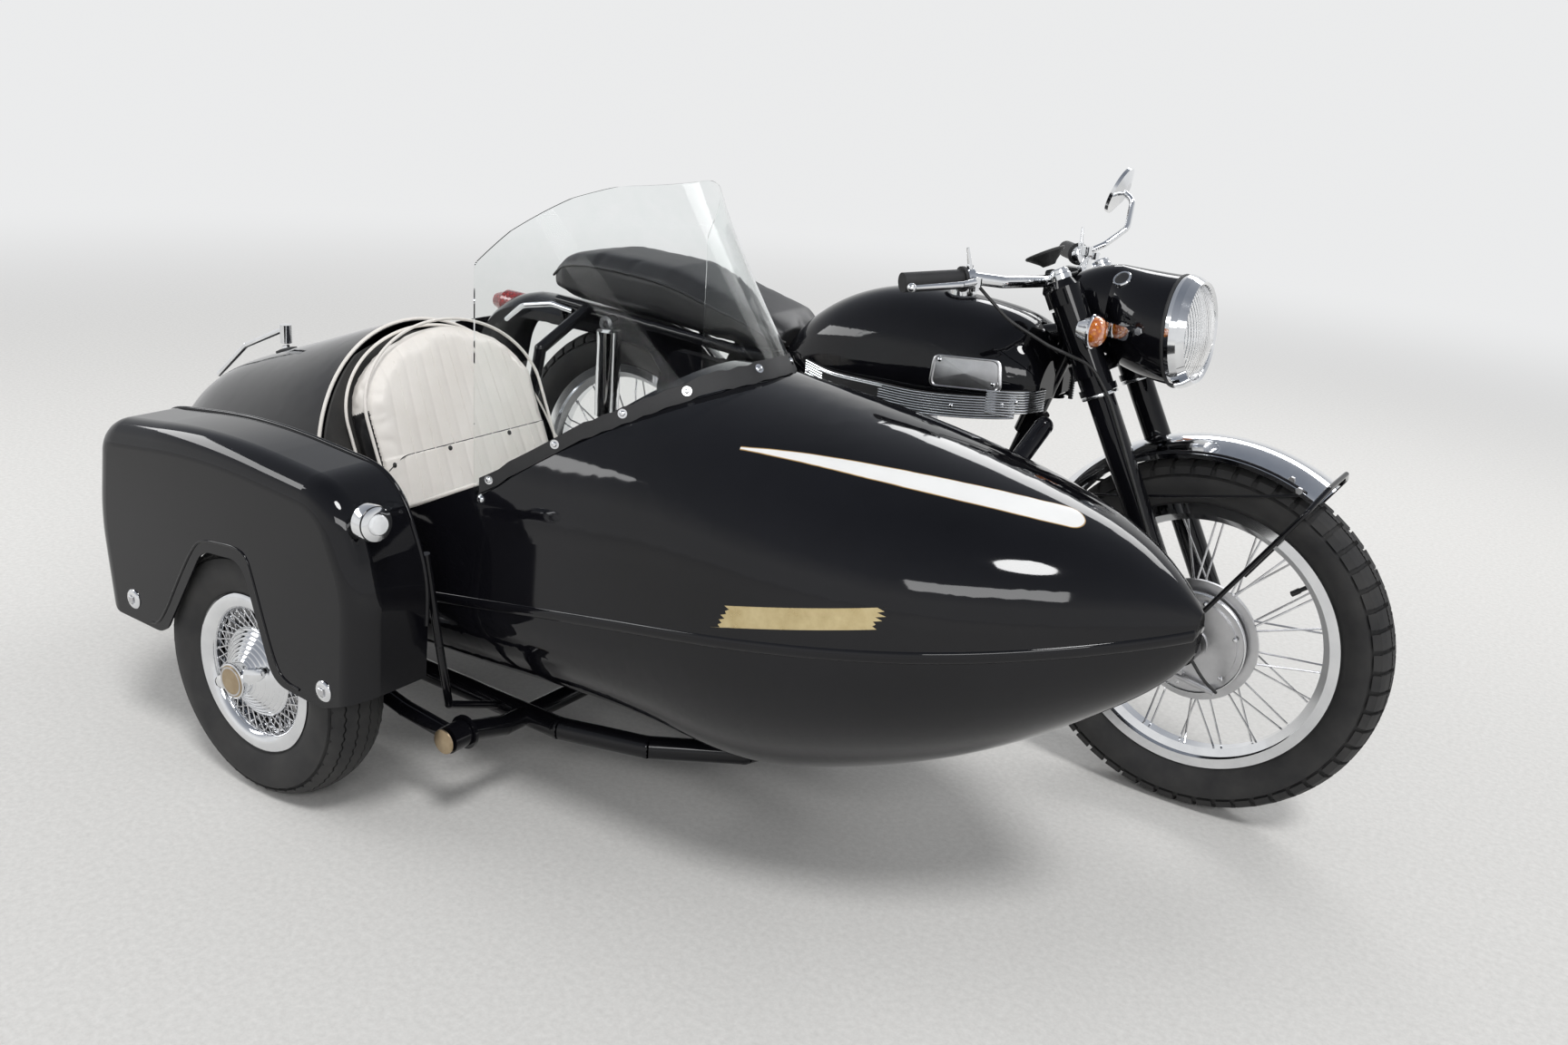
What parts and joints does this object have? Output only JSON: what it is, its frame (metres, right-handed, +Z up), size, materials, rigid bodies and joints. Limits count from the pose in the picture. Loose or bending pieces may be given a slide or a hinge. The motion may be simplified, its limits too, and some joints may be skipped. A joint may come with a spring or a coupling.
{
  "type": "motorcycle with sidecar",
  "caption": "Black classic motorcycle with a single-seat sidecar, chromed mudguard and a clear wraparound screen; it steers and its wheels turn.",
  "frame": {"origin": "centre of the bounding box's footprint, on the ground", "axes": "+X forward, +Y to the rider's left, +Z up; the sidecar is at -Y"},
  "size_m": [2.4079, 1.5439, 1.1314],
  "materials": {
    "black_paint": "gloss",
    "chrome": "mirror polish",
    "satin_alloy": "satin",
    "dark_alloy": "rough cast",
    "cast_fins": "satin black",
    "tyre_rubber": "matt",
    "black_rubber": "matt",
    "black_leatherette": "satin",
    "cream_vinyl": "satin",
    "clear_acrylic": "clear",
    "lamp_glass": "fluted",
    "red_lens": "faceted",
    "amber_lens": "faceted",
    "steel_spokes": "bright",
    "seat_ply": "painted ply",
    "cable_sheath": "satin"
  },
  "bodies": {
    "chassis": {"frame": "black_paint", "crankcase": "satin_alloy", "primary_case": "satin_alloy", "cylinder": "cast_fins", "cylinder_head": "satin_alloy", "carburettor": "dark_alloy", "exhaust": "chrome", "fuel_tank": "black_paint", "fuel_cap": "chrome", "dual_seat": "black_leatherette", "side_covers": "black_paint", "rear_mudguard": "black_paint", "number_bracket": "black_paint", "tail_lamp": "red_lens", "grab_rail": "chrome", "swing_arm": "black_paint", "shocks": "chrome", "chain_case": "black_paint", "footrests": "black_rubber", "sidecar_chassis": "black_paint", "sidecar_struts": "black_paint", "body_upper": "black_paint", "body_lower": "black_paint", "seat_shell": "seat_ply", "seat_back": "cream_vinyl", "seat_cushion": "cream_vinyl", "windscreen": "clear_acrylic", "sidecar_mudguard": "black_paint", "trailing_arm": "black_paint", "tail_bar": "chrome", "mudguard_lamp": "lamp_glass"},
    "steering": {"fork_yokes": "black_paint", "fork_shrouds": "black_paint", "fork_sliders": "black_paint", "brake_plate": "satin_alloy", "lamp_cowl": "black_paint", "lamp_rim": "chrome", "lamp_lens": "lamp_glass", "handlebar": "chrome", "grips": "black_rubber", "levers": "chrome", "mirror": "chrome", "turn_signals": "chrome", "turn_lenses": "amber_lens", "front_mudguard": "chrome", "mudguard_stays": "black_paint", "control_cables": "cable_sheath"},
    "front_wheel": {"front_tyre": "tyre_rubber", "front_rim": "chrome", "front_hub": "satin_alloy", "front_spokes": "steel_spokes"},
    "rear_wheel": {"rear_tyre": "tyre_rubber", "rear_rim": "chrome", "rear_hub": "satin_alloy", "rear_spokes": "steel_spokes"},
    "sidecar_wheel": {"sidecar_tyre": "tyre_rubber", "sidecar_rim": "chrome", "sidecar_hub": "satin_alloy", "sidecar_basket": "chrome"}
  },
  "joints": [
    {"name": "steering_pivot", "type": "hinge", "parent": "chassis", "child": "steering", "pos_m": [0.5377, 0.38604, 0.84468], "axis": [-0.4695, 0, 0.8829], "range_deg": [-32, 32]},
    {"name": "front_axle", "type": "hinge", "parent": "steering", "child": "front_wheel", "pos_m": [0.866, 0.38604, 0.338], "axis": [0, 1, 0], "continuous": true},
    {"name": "rear_axle", "type": "hinge", "parent": "chassis", "child": "rear_wheel", "pos_m": [-0.499, 0.38604, 0.338], "axis": [0, 1, 0], "continuous": true},
    {"name": "sidecar_axle", "type": "hinge", "parent": "chassis", "child": "sidecar_wheel", "pos_m": [-0.415, -0.67996, 0.231], "axis": [0, 1, 0], "continuous": true}
  ]
}
